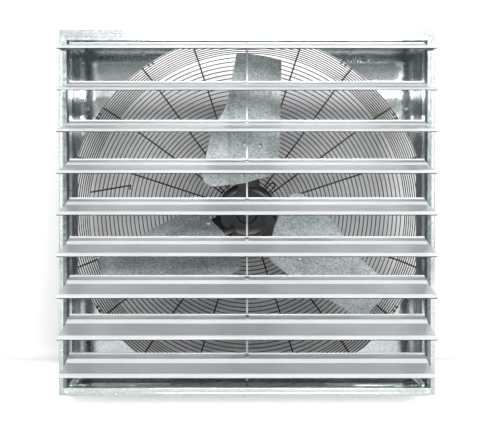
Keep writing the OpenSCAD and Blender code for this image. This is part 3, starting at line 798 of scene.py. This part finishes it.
def blade_mesh(size):
    """One blade, drawn straight up: its outline, bent along two creases."""
    mesh = bmesh.new()
    verts = [mesh.verts.new((x * MM, 0, z * MM)) for x, z, _ in BLADE_CORNERS]
    mesh.faces.new(verts)
    for i, (x, z, radius) in enumerate(BLADE_CORNERS):
        before, after = (Vector(BLADE_CORNERS[(i + k) % 9][:2]) for k in (-1, 1))
        turn = (before - Vector((x, z))).angle(after - Vector((x, z)))
        if radius:
            round_off(mesh, [verts[i]], radius * MM / math.tan(turn / 2), 8, "VERTICES")
    for crease in (TRAILING_CREASE, LEADING_CREASE):
        bmesh.ops.bisect_plane(
            mesh, geom=everything(mesh), dist=1e-7, plane_co=(crease, 0, 0), plane_no=ACROSS
        )
    tips = [e for e in mesh.edges if min(v.co.z for v in e.verts) > size.tip]
    bmesh.ops.subdivide_edges(mesh, edges=tips, cuts=6)
    for vert in mesh.verts:
        if vert.co.z > size.tip:
            vert.co.z = math.sqrt(size.tip**2 - vert.co.x**2)
        vert.co.y = blade_depth(size, vert.co.x)
    round_off(mesh, [e for e in mesh.edges if len(e.link_faces) == 2], 5 * MM, 4)
    thicken(mesh, size.sheet)
    return mesh


def blade_places(size):
    shift = Matrix.Translation((0, -size.forward, 0))
    return [shift @ turn for turn in around(circle_of(3, size.turn))]


class FAN_OT_blades(bpy.types.Operator):
    """Press the three blades"""

    bl_idname = "fan.blades"
    bl_label = "Press the blades"

    def execute(self, context):
        size = context.scene.fan_rotor
        for number, place in enumerate(blade_places(size), 1):
            mesh = blade_mesh(size)
            bmesh.ops.transform(mesh, matrix=place, verts=mesh.verts)
            piece(
                mesh, f"blade_{number}_sheet", "rotor", "blade_galvanised", "shaded_galvanised_blade",
                f"blade_{number}",
            )
        return {"FINISHED"}


class FAN_OT_hub(bpy.types.Operator):
    """Press the hub's dished plate and its three ribbed arms"""

    bl_idname = "fan.hub"
    bl_label = "Press the hub"

    def execute(self, context):
        size = context.scene.fan_rotor
        rim, plane = size.hub / MM, -size.forward / MM
        mesh = turned([
            (r, plane + y) for r, y in (
                (8, -16), (26, -16), (28, -14), (28, -7), (31, -3), (55, -2.4), (60, -4),
                (rim - 4, -4), (rim - 1, -3), (rim, -1), (rim, 1), (rim - 1, 3), (rim - 4, 4),
                (31, 4), (28, 6), (28, 26), (26, 28), (8, 28), (8, -16),
            )
        ], 96)
        arm = plate(
            [
                (Vector((x, size.sheet / MM / 2, z)) * MM, reach * MM)
                for x, z, reach in ((-32, 50, 0), (-32, 258, 14), (32, 258, 14), (32, 50, 0))
            ],
            AXIS * 5 * MM, 1 * MM,
        )
        rib = block((-7 * MM, 3 * MM, 80 * MM), (7 * MM, 9.5 * MM, 246 * MM), 3 * MM)
        join(arm, rib)
        tilt = Matrix.Rotation(size.pitch, 4, "Z")
        join(mesh, arm, *[place @ tilt for place in blade_places(size)])
        piece(mesh, "hub_pressing", "rotor", "motor_black", "motor_enamel", "hub_spider")
        return {"FINISHED"}


def guard_piece(mesh, name, *nodes):
    return piece(mesh, name, "housing", "guard_black", "guard_enamel", *nodes, crease=60)


class FAN_OT_guard(bpy.types.Operator):
    """Bend and weld the wire guard"""

    bl_idname = "fan.guard"
    bl_label = "Weld the guard"

    def execute(self, context):
        size = context.scene.fan_guard
        ring, rod = size.ring_wire, size.rod_wire
        base_y = 1.5 * MM + 2 * rod + ring
        face_rings = [(size.face - k * size.pitch, size.depth) for k in range(size.rings)]
        skirt_rings = [
            (
                size.base + (size.face - size.base) * k / size.skirt,
                base_y + (size.depth - base_y) * k / size.skirt,
            )
            for k in range(size.skirt)
        ]
        face, skirt = bmesh.new(), bmesh.new()
        for whole, rings in ((face, face_rings), (skirt, skirt_rings)):
            for radius, y in rings:
                join(whole, wire_ring(radius, y, ring))
        guard_piece(face, "guard_face_wire", "guard_face_rings")
        guard_piece(skirt, "guard_skirt_wire", "guard_skirt_rings")

        lean = math.atan2(size.base - size.face, size.depth - base_y)
        stand_off = ring + rod
        run = (size.depth + stand_off * math.sin(lean) - 2.1 * MM) / math.cos(lean)
        inner = face_rings[-1][0] - 4 * MM
        turns = around(circle_of(size.rods))
        rods = bmesh.new()
        one = wire(
            (0, size.depth + stand_off, inner), UP, rod,
            [
                UP * (size.face - inner),
                (Vector((0, size.depth, size.face)), ACROSS, math.pi / 2 - lean),
                Vector((0, -math.cos(lean), math.sin(lean))) * run,
            ],
        )
        join(rods, one, *turns)
        guard_piece(rods, "guard_rod_wire", "guard_rods")

        bead, row, welds = bmesh.new(), bmesh.new(), bmesh.new()
        bmesh.ops.create_icosphere(bead, subdivisions=1, radius=1.7 * MM)
        bmesh.ops.scale(bead, vec=(1.6, 0.8, 1), verts=bead.verts)
        out = Vector((0, math.sin(lean), math.cos(lean))) * ring
        spots = [Vector((0, y + ring, radius)) for radius, y in face_rings]
        spots += [Vector((0, y, radius)) + out for radius, y in skirt_rings]
        join(row, bead, *[Matrix.Translation(spot) for spot in spots])
        join(welds, row, *turns)
        guard_piece(welds, "guard_weld_beads")
        return {"FINISHED"}


class FAN_OT_guard_mounts(bpy.types.Operator):
    """Bend the guard's feet, its stay and the loops that carry the motor"""

    bl_idname = "fan.guard_mounts"
    bl_label = "Bend the guard's feet"

    def execute(self, context):
        size = context.scene.fan_guard
        rod = size.rod_wire
        quarters = circle_of(4)
        feet, loops, stay, ball = bmesh.new(), bmesh.new(), bmesh.new(), bmesh.new()
        foot = wire_loop(4 * MM, 7 * MM, size.base - 6 * MM, 565 * MM, rod)
        join(feet, foot, *around([q + math.radians(a) for q in quarters for a in (33, 57)]))
        guard_piece(feet, "guard_foot_wire", "guard_feet")
        outer = size.face - (size.rings - 2) * size.pitch + 4 * MM
        loop = wire_loop(size.depth + size.ring_wire + rod, 8 * MM, 63 * MM, outer, rod)
        join(loops, loop, *around([q + math.pi / 4 for q in quarters]))
        guard_piece(loops, "motor_loop_wire", "motor_mount")
        knee = Vector((-372 * MM, size.depth - size.ring_wire - rod, 82 * MM))
        for way in (Vector((-127, 0, -22)) * MM, Vector((-2, 0, -14)) * MM):
            join(stay, wire(knee, way, rod, [way]))
        bmesh.ops.create_uvsphere(
            ball, u_segments=12, v_segments=8, radius=rod, matrix=Matrix.Translation(knee)
        )
        join(stay, ball)
        guard_piece(stay, "guard_stay_wire", "guard_stay")
        return {"FINISHED"}


def end_bell(size):
    """The front end bell: a dished wall with twelve vents."""
    rim = (size.radius - size.wall / 2) / MM
    front = size.front / MM
    face = (size.front - size.bell + size.wall / 2) / MM
    mesh = turned([
        (rim, front - 0.5), (rim, face + 6), (rim - 1.5, face + 2.8), (rim - 4, face + 0.8),
        (rim - 7, face), (52, face), (32, face), (24, face), (21, face - 1.2), (10, face - 1.2),
    ], 48)
    vents = []
    for face in mesh.faces:
        middle = face.calc_center_median()
        turn = math.degrees(math.atan2(middle.x, middle.z)) % 30
        if abs(turn - 15) < 1 and 32 < middle.length / MM < 52:
            vents.append(face)
    bmesh.ops.delete(mesh, geom=vents, context="FACES")
    thicken(mesh, size.wall)
    return mesh


class FAN_OT_motor(bpy.types.Operator):
    """Turn the motor's shell and bells, and fold its two boxes"""

    bl_idname = "fan.motor"
    bl_label = "Turn the motor"

    def execute(self, context):
        size = context.scene.fan_motor
        radius, front, back = size.radius / MM, size.front / MM, size.back / MM
        beaded_end = ((-3, 0), (-1, 0), (0, 1), (0, 9), (-1.2, 10.5), (-1.2, 13), (0, 14.5))
        near, far = (
            [(radius + r, y + inwards * dy) for r, dy in beaded_end]
            for y, inwards in ((front, 1), (back, -1))
        )
        shell = turned([*near, *reversed(far), near[0]], 96)
        bell, rear = end_bell(size), end_bell(size)
        bmesh.ops.rotate(
            rear, verts=rear.verts, cent=(0, (size.front + size.back) / 2, 0),
            matrix=Matrix.Rotation(math.pi, 3, "Z"),
        )
        box = block((-24 * MM, 19.5 * MM, -118 * MM), (24 * MM, 103.5 * MM, -80 * MM), 5 * MM)
        low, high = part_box("terminal_cover")
        cover = block(low, high - AXIS * 2 * MM, 1.3 * MM)
        head = turned([(0.01, 170.5), (2, 170.3), (3, 169.3), (3.2, 168.2)], 16)
        join(cover, head, *[Matrix.Translation((x * MM, 0, 0)) for x in (-29, 29)])
        for mesh, name, node in (
            (shell, "motor_casing", "motor_shell"), (bell, "front_bell", "front_end_bell"),
            (rear, "rear_bell", "rear_end_bell"), (box, "capacitor_can", "capacitor_box"),
            (cover, "wiring_lid", "terminal_cover"),
        ):
            piece(mesh, name, "housing", "motor_black", "motor_enamel", node)
        return {"FINISHED"}


# Studio


def area_light(name, place, target, size, watts):
    light = bpy.data.lights.new(name, "AREA")
    light.shape = "RECTANGLE"
    light.size, light.size_y = size
    light.energy = watts
    lamp = link(bpy.data.objects.new(name, light))
    lamp.location = place
    lamp.rotation_euler = (Vector(target) - Vector(place)).to_track_quat("-Z", "Y").to_euler()
    return lamp


class FAN_OT_studio(bpy.types.Operator):
    """Set up the floor, the wall behind, the lights and the camera"""

    bl_idname = "fan.studio"
    bl_label = "Build the studio"

    def execute(self, context):
        studio = context.scene.fan_studio
        scene = context.scene
        mesh = bmesh.new()
        edge = 4.5
        corners = [
            mesh.verts.new((x, y, cad_box[0].z))
            for x, y in ((-edge, -edge), (edge, -edge), (edge, studio.wall), (-edge, studio.wall))
        ]
        floor = mesh.faces.new(corners)
        behind = [e for e in floor.edges if all(v.co.y > 0 for v in e.verts)]
        wall = bmesh.ops.extrude_edge_only(mesh, edges=behind)["geom"]
        bmesh.ops.translate(mesh, verts=verts_of(wall), vec=UP * 4)
        round_off(mesh, [e for e in mesh.edges if len(e.link_faces) == 2], studio.cove, 8)
        bmesh.ops.recalc_face_normals(mesh, faces=mesh.faces)
        if sum(f.normal.z * f.calc_area() for f in mesh.faces) < 0:
            bmesh.ops.reverse_faces(mesh, faces=mesh.faces)
        data = bpy.data.meshes.new("studio_cove")
        mesh.to_mesh(data)
        mesh.free()
        data.shade_smooth()
        paper = studio_paper("studio_paper", "f8f8f8", "b4b4b4", 0.45, studio.wall)
        data.materials.append(paper)
        link(bpy.data.objects.new("studio_cove", data))

        world = bpy.data.worlds.new("studio_light")
        world.use_nodes = True
        scene.world = world
        tree = world.node_tree
        soft = tree.nodes["Background"]
        soft.inputs["Color"].default_value = linear("ffffff")
        soft.inputs["Strength"].default_value = studio.ambient
        white = add(tree, "ShaderNodeBackground", {}, {"Color": linear("ffffff")})
        rays = add(tree, "ShaderNodeLightPath").outputs
        seen = add(
            tree, "ShaderNodeMath", {0: rays["Is Camera Ray"], 1: rays["Is Glossy Ray"]},
            operation="MAXIMUM",
        )
        mixed = add(
            tree, "ShaderNodeMixShader",
            {0: seen.outputs[0], 1: soft.outputs[0], 2: white.outputs[0]},
        )
        tree.links.new(mixed.outputs[0], tree.nodes["World Output"].inputs["Surface"])

        area_light("key_light", (0.2, -3.0, 1.25), (0, 0, 0), (1.8, 1.2), studio.key)
        for side, name in ((-1, "left"), (1, "right")):
            area_light(
                name + "_light", (side * 1.9, -1.9, 0.3), (0, 0, 0), (0.8, 1.4), studio.side
            )

        width, height, focal = 500, 428, 580  # of the picture, in pixels
        axis_x, horizon = 247, 190  # where the fan's axis and the camera's height lie in it
        lens = bpy.data.cameras.new("camera")
        lens.sensor_width = 36
        lens.lens = focal / width * lens.sensor_width
        lens.shift_x = (width / 2 - axis_x) / width
        lens.shift_y = (horizon - height / 2) / width
        camera = link(bpy.data.objects.new("camera", lens))
        camera.location = (0, -studio.camera_distance, studio.camera_height)
        camera.rotation_euler = (math.pi / 2, 0, 0)
        scene.camera = camera
        scene.view_settings.view_transform = "Standard"
        return {"FINISHED"}


GROUPS = {
    "fan_housing": FanHousing, "fan_louvres": FanLouvres, "fan_rotor": FanRotor,
    "fan_guard": FanGuard, "fan_motor": FanMotor, "fan_colours": FanColours,
    "fan_studio": FanStudio,
}
OPERATORS = (
    FAN_OT_finishes, FAN_OT_housing, FAN_OT_shutter_frame, FAN_OT_louvres, FAN_OT_tie_bar,
    FAN_OT_blades, FAN_OT_hub, FAN_OT_guard, FAN_OT_guard_mounts, FAN_OT_motor, FAN_OT_studio,
)


class FAN_PT_panel(bpy.types.Panel):
    """The fan's sizes and colours, and its pieces in the order that they are built"""

    bl_idname = "FAN_PT_panel"
    bl_label = "Exhaust Fan"
    bl_space_type = "VIEW_3D"
    bl_region_type = "UI"
    bl_category = "Exhaust Fan"

    def draw(self, context):
        for key, group in GROUPS.items():
            column = self.layout.column()
            for setting in group.__annotations__:
                column.prop(getattr(context.scene, key), setting)
        for operator in OPERATORS:
            self.layout.operator(operator.bl_idname)


def register():
    for each in (*GROUPS.values(), *OPERATORS, FAN_PT_panel):
        bpy.utils.register_class(each)
    for key, group in GROUPS.items():
        setattr(bpy.types.Scene, key, PointerProperty(type=group))


def unregister():
    for key in GROUPS:
        delattr(bpy.types.Scene, key)
    for each in reversed((*GROUPS.values(), *OPERATORS, FAN_PT_panel)):
        bpy.utils.unregister_class(each)


def main():
    register()
    for operator in OPERATORS:
        group, name = operator.bl_idname.split(".")
        getattr(getattr(bpy.ops, group), name)()


if __name__ == "__main__":
    main()
